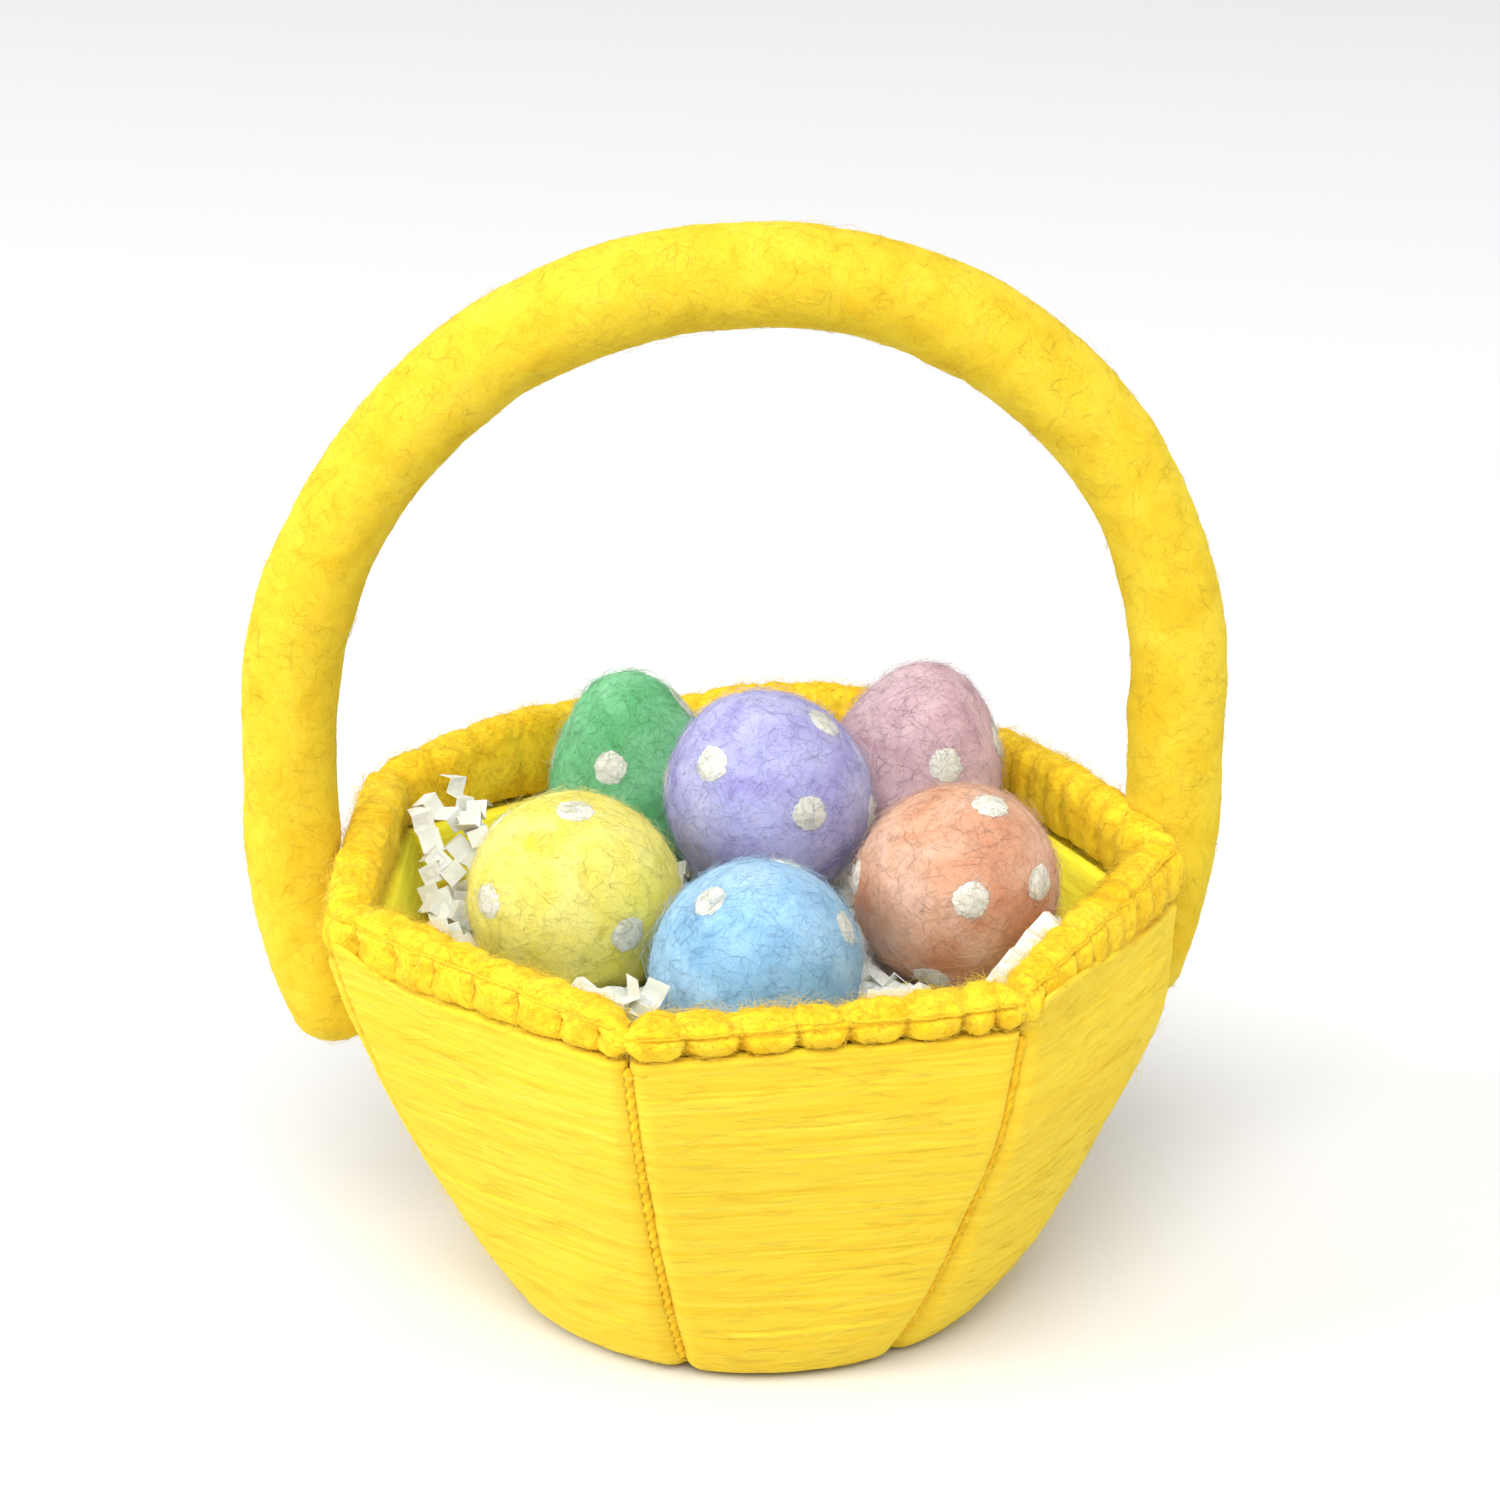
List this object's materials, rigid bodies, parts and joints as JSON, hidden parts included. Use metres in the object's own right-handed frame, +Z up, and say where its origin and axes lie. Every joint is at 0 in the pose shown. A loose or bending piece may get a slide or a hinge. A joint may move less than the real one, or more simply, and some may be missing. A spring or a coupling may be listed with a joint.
{
  "type": "easter basket",
  "caption": "Small felt easter basket with yarn-wound panels, a stitched felt rim, a felted arch handle, a bed of shredded paper and loose dotted felt eggs.",
  "frame": {"origin": "centre of the flat underside, on the surface that the basket stands on", "axes": "+X from the centre towards the handle's right foot, +Y towards the back, +Z up"},
  "size_m": [0.1438, 0.1254, 0.1582],
  "materials": {
    "yellow_felt": "thick soft wool felt",
    "handle_felt": "needle-felted wool, smooth with a short nap",
    "wound_yarn": "fine wool yarn wound side by side",
    "sewing_yarn": "twisted wool sewing yarn",
    "base_card": "grey-brown stiff board",
    "armature_wire": "soft steel wire",
    "yellow_wool": "felted wool, fuzzy",
    "blue_wool": "felted wool, fuzzy",
    "peach_wool": "felted wool, fuzzy",
    "lavender_wool": "felted wool, fuzzy",
    "green_wool": "felted wool, fuzzy",
    "pink_wool": "felted wool, fuzzy",
    "white_wool": "white wool, needled in",
    "shredded_paper": "matt crinkle-cut paper"
  },
  "bodies": {
    "basket": {"base_core": "base_card", "base_felt_inner": "yellow_felt", "base_felt_outer": "yellow_felt", "handle_felt": "handle_felt", "handle_wire": "armature_wire", "panel_core_back": "yellow_felt", "panel_core_front": "yellow_felt", "panel_core_left": "yellow_felt", "panel_core_left_back": "yellow_felt", "panel_core_left_front": "yellow_felt", "panel_core_right_back": "yellow_felt", "panel_core_right_front": "yellow_felt", "panel_winding_back": "wound_yarn", "panel_winding_front": "wound_yarn", "panel_winding_left": "wound_yarn", "panel_winding_left_back": "wound_yarn", "panel_winding_left_front": "wound_yarn", "panel_winding_right_back": "wound_yarn", "panel_winding_right_front": "wound_yarn", "paper_bed": "shredded_paper", "paper_strips_front": "shredded_paper", "paper_strips_left": "shredded_paper", "paper_strips_right": "shredded_paper", "rim_roll_back": "yellow_felt", "rim_roll_front": "yellow_felt", "rim_roll_left": "yellow_felt", "rim_roll_left_back": "yellow_felt", "rim_roll_left_front": "yellow_felt", "rim_roll_right_back": "yellow_felt", "rim_roll_right_front": "yellow_felt", "rim_thread_back": "sewing_yarn", "rim_thread_front": "sewing_yarn", "rim_thread_left": "sewing_yarn", "rim_thread_left_back": "sewing_yarn", "rim_thread_left_front": "sewing_yarn", "rim_thread_right_back": "sewing_yarn", "rim_thread_right_front": "sewing_yarn", "seam_yarn": "sewing_yarn"},
    "yellow_egg": {"egg_yellow": "yellow_wool", "egg_yellow_dots": "white_wool"},
    "blue_egg": {"egg_blue": "blue_wool", "egg_blue_dots": "white_wool"},
    "peach_egg": {"egg_peach": "peach_wool", "egg_peach_dots": "white_wool"},
    "lavender_egg": {"egg_lavender": "lavender_wool", "egg_lavender_dots": "white_wool"},
    "green_egg": {"egg_green": "green_wool", "egg_green_dots": "white_wool"},
    "pink_egg": {"egg_pink": "pink_wool", "egg_pink_dots": "white_wool"}
  },
  "joints": [
    {"name": "yellow_egg_lift", "type": "slide", "parent": "basket", "child": "yellow_egg", "axis": [0, 0, 1], "range_m": [0, 0.04]},
    {"name": "blue_egg_lift", "type": "slide", "parent": "basket", "child": "blue_egg", "axis": [0, 0, 1], "range_m": [0, 0.04]},
    {"name": "peach_egg_lift", "type": "slide", "parent": "basket", "child": "peach_egg", "axis": [0, 0, 1], "range_m": [0, 0.04]},
    {"name": "lavender_egg_lift", "type": "slide", "parent": "basket", "child": "lavender_egg", "axis": [0, 0, 1], "range_m": [0, 0.04]},
    {"name": "green_egg_lift", "type": "slide", "parent": "basket", "child": "green_egg", "axis": [0, 0, 1], "range_m": [0, 0.04]},
    {"name": "pink_egg_lift", "type": "slide", "parent": "basket", "child": "pink_egg", "axis": [0, 0, 1], "range_m": [0, 0.04]}
  ]
}
